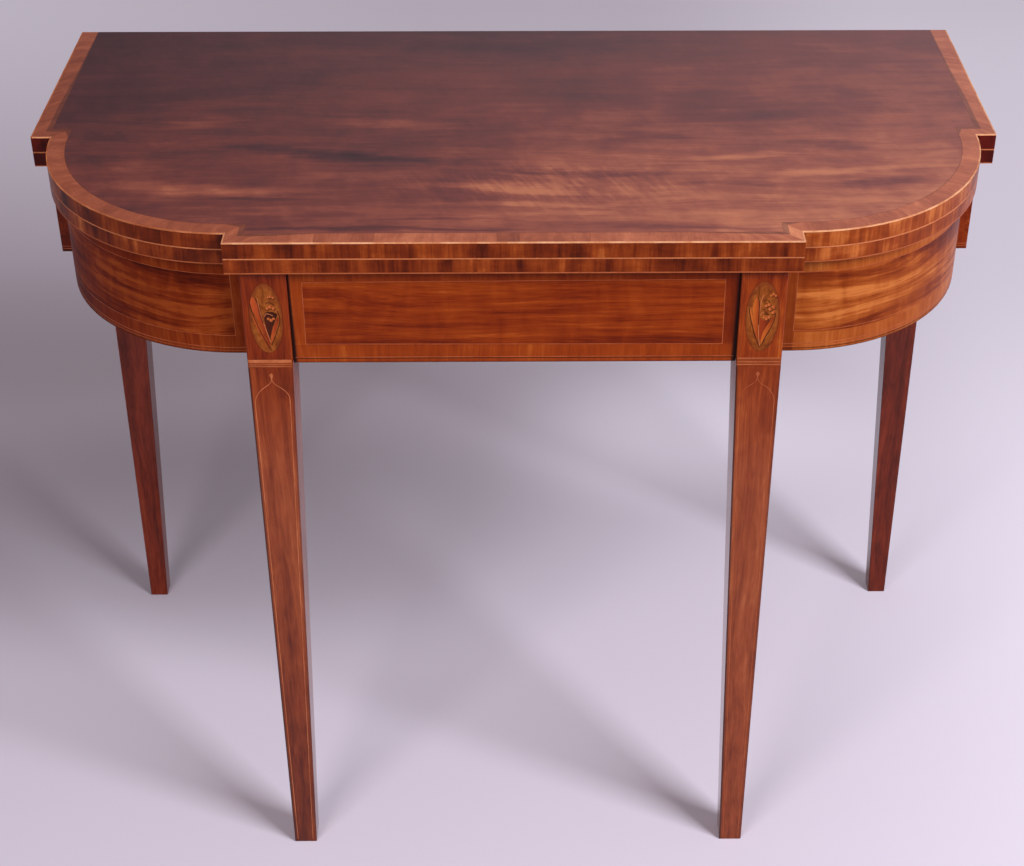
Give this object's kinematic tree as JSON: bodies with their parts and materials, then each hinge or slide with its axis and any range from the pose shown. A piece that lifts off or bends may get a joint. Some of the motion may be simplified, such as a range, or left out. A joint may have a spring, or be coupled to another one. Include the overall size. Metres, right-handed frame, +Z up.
{
  "type": "card table",
  "caption": "Folding-top card table with stepped round corners, inlaid frieze, square tapered legs and gate legs that swing out to carry the open flap.",
  "frame": {"origin": "on the floor, under the centre of the box round the closed table", "axes": "+X to the viewer's right along the long side, +Y to the back edge where the flap is hinged, +Z up"},
  "size_m": [0.922, 0.4618, 0.74],
  "materials": {
    "mahogany_top": "french polished mahogany with grain along the width",
    "mahogany_frieze": "french polished mahogany veneer",
    "mahogany_leg": "polished solid mahogany with grain along the leg",
    "crossband": "polished veneer laid with its grain across the band, in pieces of differing tone",
    "boxwood": "polished light stringing",
    "marquetry": "polished marquetry of leaves and bell flowers on an olive-brown ground",
    "carcase": "planed unpolished softwood",
    "baize": "short-napped green wool cloth",
    "brass": "dulled brass",
    "iron": "dark iron"
  },
  "bodies": {
    "frame": {"lower_leaf": "mahogany_top", "lower_leaf_edge_band": "crossband", "lower_leaf_top_string": "boxwood", "lower_leaf_bottom_string": "boxwood", "lower_leaf_baize": "baize", "front_rail": "mahogany_frieze", "left_apron": "mahogany_frieze", "right_apron": "mahogany_frieze", "left_side_rail": "mahogany_frieze", "right_side_rail": "mahogany_frieze", "back_rail": "carcase", "knuckle_rail": "carcase", "cross_brace": "carcase", "left_corner_block": "carcase", "right_corner_block": "carcase", "glue_block_1": "carcase", "glue_block_2": "carcase", "glue_block_3": "carcase", "glue_block_4": "carcase", "top_screw_1": "iron", "top_screw_2": "iron", "top_screw_3": "iron", "top_screw_4": "iron", "knuckle_rail_screw_1": "iron", "knuckle_rail_screw_2": "iron", "knuckle_rail_screw_3": "iron", "knuckle_rail_screw_4": "iron", "left_front_leg": "mahogany_leg", "right_front_leg": "mahogany_leg", "left_marquetry_oval": "marquetry", "right_marquetry_oval": "marquetry", "left_leg_band": "boxwood", "right_leg_band": "boxwood", "left_knuckle_pin": "iron", "right_knuckle_pin": "iron", "left_lower_hinge_plate": "brass", "right_lower_hinge_plate": "brass", "left_hinge_pin": "brass", "right_hinge_pin": "brass", "lower_hinge_screw_1": "brass", "lower_hinge_screw_2": "brass", "lower_hinge_screw_3": "brass", "lower_hinge_screw_4": "brass"},
    "flap": {"upper_leaf": "mahogany_top", "upper_leaf_edge_band": "crossband", "upper_leaf_string": "boxwood", "upper_leaf_crossband": "crossband", "upper_leaf_baize": "baize", "left_upper_hinge_plate": "brass", "right_upper_hinge_plate": "brass", "upper_hinge_screw_1": "brass", "upper_hinge_screw_2": "brass", "upper_hinge_screw_3": "brass", "upper_hinge_screw_4": "brass"},
    "left_gate": {"left_fly_rail": "carcase", "left_rear_leg": "mahogany_leg"},
    "right_gate": {"right_fly_rail": "carcase", "right_rear_leg": "mahogany_leg"}
  },
  "joints": [
    {"name": "flap_hinge", "type": "hinge", "parent": "frame", "child": "flap", "pos_m": [0, 0.22673, 0.72465], "axis": [-1, 0, 0], "range_deg": [0, 180]},
    {"name": "left_gate_hinge", "type": "hinge", "parent": "frame", "child": "left_gate", "pos_m": [-0.13, 0.20008, 0.66], "axis": [0, 0, -1], "range_deg": [0, 90]},
    {"name": "right_gate_hinge", "type": "hinge", "parent": "frame", "child": "right_gate", "pos_m": [0.13, 0.20008, 0.66], "axis": [0, 0, 1], "range_deg": [0, 90]}
  ]
}
